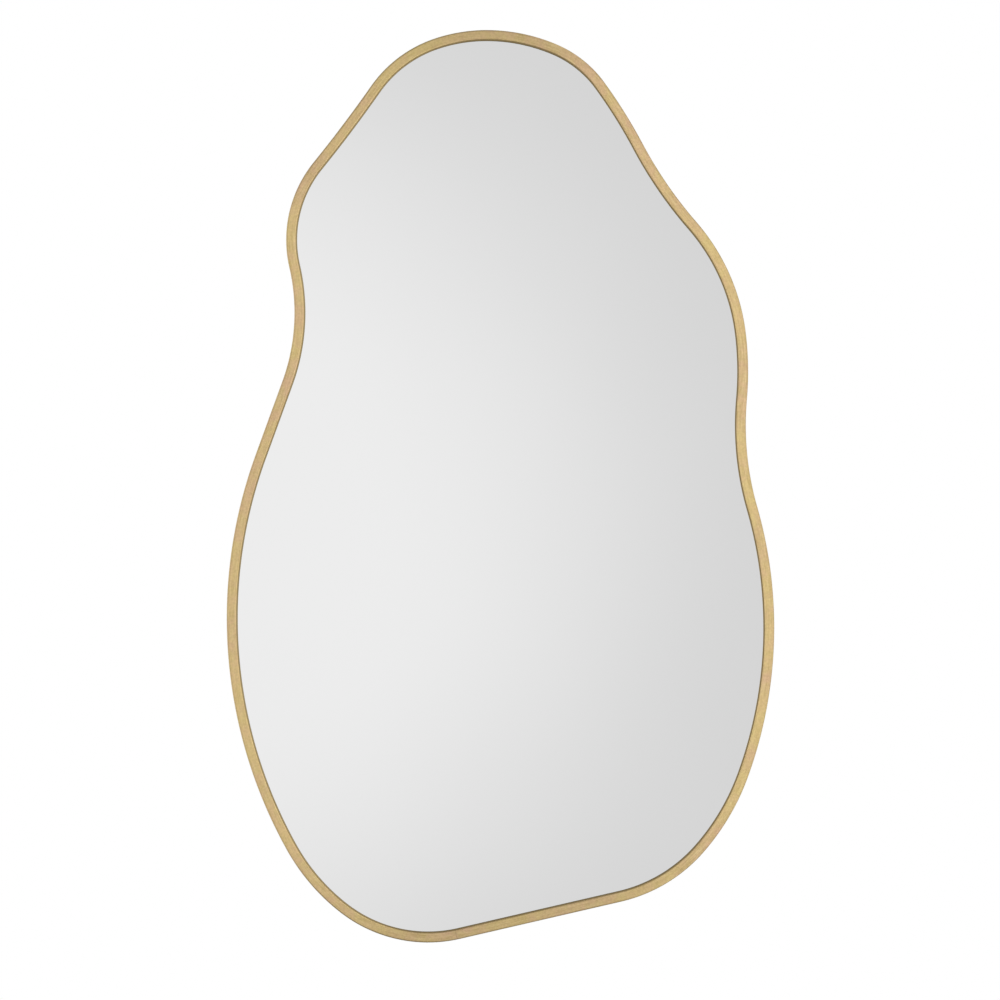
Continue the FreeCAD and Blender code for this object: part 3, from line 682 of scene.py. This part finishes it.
def makeFloor():
    bm = bmesh.new()
    bmesh.ops.create_circle(bm, cap_ends=True, segments=96, radius=studio["floorRadius"])
    floor = bpy.data.objects.new("studioFloor", finishMesh(bm, "studioFloor"))
    floor.location.z = studio["floorHeight"]
    bpy.context.scene.collection.objects.link(floor)
    material = bpy.data.materials.new("paleStudioFloor")
    material.use_nodes = True
    tree = material.node_tree
    tree.nodes.clear()
    place = addNode(tree, "TexCoord").outputs["Object"]
    reach = addNode(tree, "VectorMath", {0: place}, operation="LENGTH").outputs["Value"]
    fade = addNode(tree, "MapRange", {"Value": reach, 1: studio["floorSolid"],
                                      2: studio["floorRadius"] * 0.95},
                   interpolation_type="SMOOTHSTEP").outputs[0]
    matt = addNode(tree, "BsdfDiffuse", {"Color": linear(studio["floorColour"])}).outputs[0]
    clear = addNode(tree, "BsdfTransparent").outputs[0]
    both = addNode(tree, "MixShader", {0: fade, 1: matt, 2: clear}).outputs[0]
    addNode(tree, "OutputMaterial", {"Surface": both})
    floor.data.materials.append(material)
    floor.visible_glossy = False     # the world has its own ground for the glass to show


def makeWorld():
    # White to the camera and plain to matt surfaces. What metal and glass show is a studio with
    # a soft glow to the left of the camera, bright sides, and a darker ceiling and floor.
    world = bpy.data.worlds.new("paleStudio")
    bpy.context.scene.world = world
    world.use_nodes = True
    tree = world.node_tree
    tree.nodes.clear()

    def ramp(value, start, end, low, high):
        return addNode(tree, "MapRange", {"Value": value, 1: start, 2: end, 3: low, 4: high},
                       interpolation_type="SMOOTHSTEP").outputs[0]

    def combine(operation, first, second):
        return addNode(tree, "Math", {0: first, 1: second}, operation=operation).outputs[0]

    def distance(across, up, centre):
        offset = addNode(tree, "CombineXYZ", {0: combine("SUBTRACT", across, centre[0]),
                                              1: combine("SUBTRACT", up, centre[1])}).outputs[0]
        return addNode(tree, "VectorMath", {0: offset}, operation="LENGTH").outputs["Value"]

    direction = addNode(tree, "TexCoord").outputs["Generated"]
    parts = addNode(tree, "SeparateXYZ", {0: direction}).outputs
    across, up = parts["X"], parts["Z"]
    ahead = combine("MAXIMUM", combine("MULTIPLY", parts["Y"], -1.0), 0.05)
    reach = distance(combine("DIVIDE", across, ahead), combine("DIVIDE", up, ahead),
                     studio["glowCentre"])
    seen = ramp(reach, *studio["glow"])
    seen = combine("ADD", seen, ramp(across, *studio["rightWall"]))
    seen = combine("SUBTRACT", seen, ramp(across, *studio["rightFar"]))
    seen = combine("ADD", seen, ramp(across, *studio["leftWall"]))
    seen = combine("MULTIPLY", seen, ramp(up, *studio["ceiling"]))
    seen = combine("MULTIPLY", seen, ramp(up, *studio["ground"]))
    reach = distance(across, up, studio["highWindowCentre"])
    seen = combine("ADD", seen, ramp(reach, *studio["highWindow"]))
    path = addNode(tree, "LightPath").outputs
    mirrored = addNode(tree, "Mix", {0: path["Is Glossy Ray"], 2: studio["ambient"], 3: seen},
                       data_type="FLOAT").outputs[0]
    strength = addNode(tree, "Mix", {0: path["Is Camera Ray"], 2: mirrored, 3: 1.0},
                       data_type="FLOAT").outputs[0]
    sky = addNode(tree, "Background", {"Color": (1, 1, 1, 1), "Strength": strength}).outputs[0]
    addNode(tree, "OutputWorld", {"Surface": sky})


lamps = [
    # name, place, size and power
    ("keyLight", (-1.6, -2.2, 1.6), 1.4, 22.0),
    ("backLight", (1.8, 2.2, 1.5), 1.4, 22.0),
]


def makeLamps():
    aim = Vector((0, 0, -0.3))
    for name, place, size, power in lamps:
        light = bpy.data.lights.new(name, "AREA")
        light.shape, light.size, light.energy = "DISK", size, power
        lamp = bpy.data.objects.new(name, light)
        lamp.location = place
        lamp.rotation_mode = "QUATERNION"
        lamp.rotation_quaternion = (aim - Vector(place)).to_track_quat("-Z", "Y")
        lamp.visible_glossy = False     # the mirror shows the studio, not the lamps
        lamp.visible_camera = False
        bpy.context.scene.collection.objects.link(lamp)


view = {"lens": 100, "sensor": 36, "place": (-0.00016, -3.0711, -0.29025)}


def makeCamera():
    # looks straight at the wall
    data = bpy.data.cameras.new("camera")
    data.lens, data.sensor_width = view["lens"], view["sensor"]
    camera = bpy.data.objects.new("camera", data)
    camera.location = view["place"]
    camera.rotation_euler = (math.pi / 2, 0, 0)
    bpy.context.scene.collection.objects.link(camera)
    bpy.context.scene.camera = camera


makeFloor()
makeWorld()
makeLamps()
makeCamera()
bpy.context.scene.view_settings.view_transform = "Standard"
print("studio and camera")
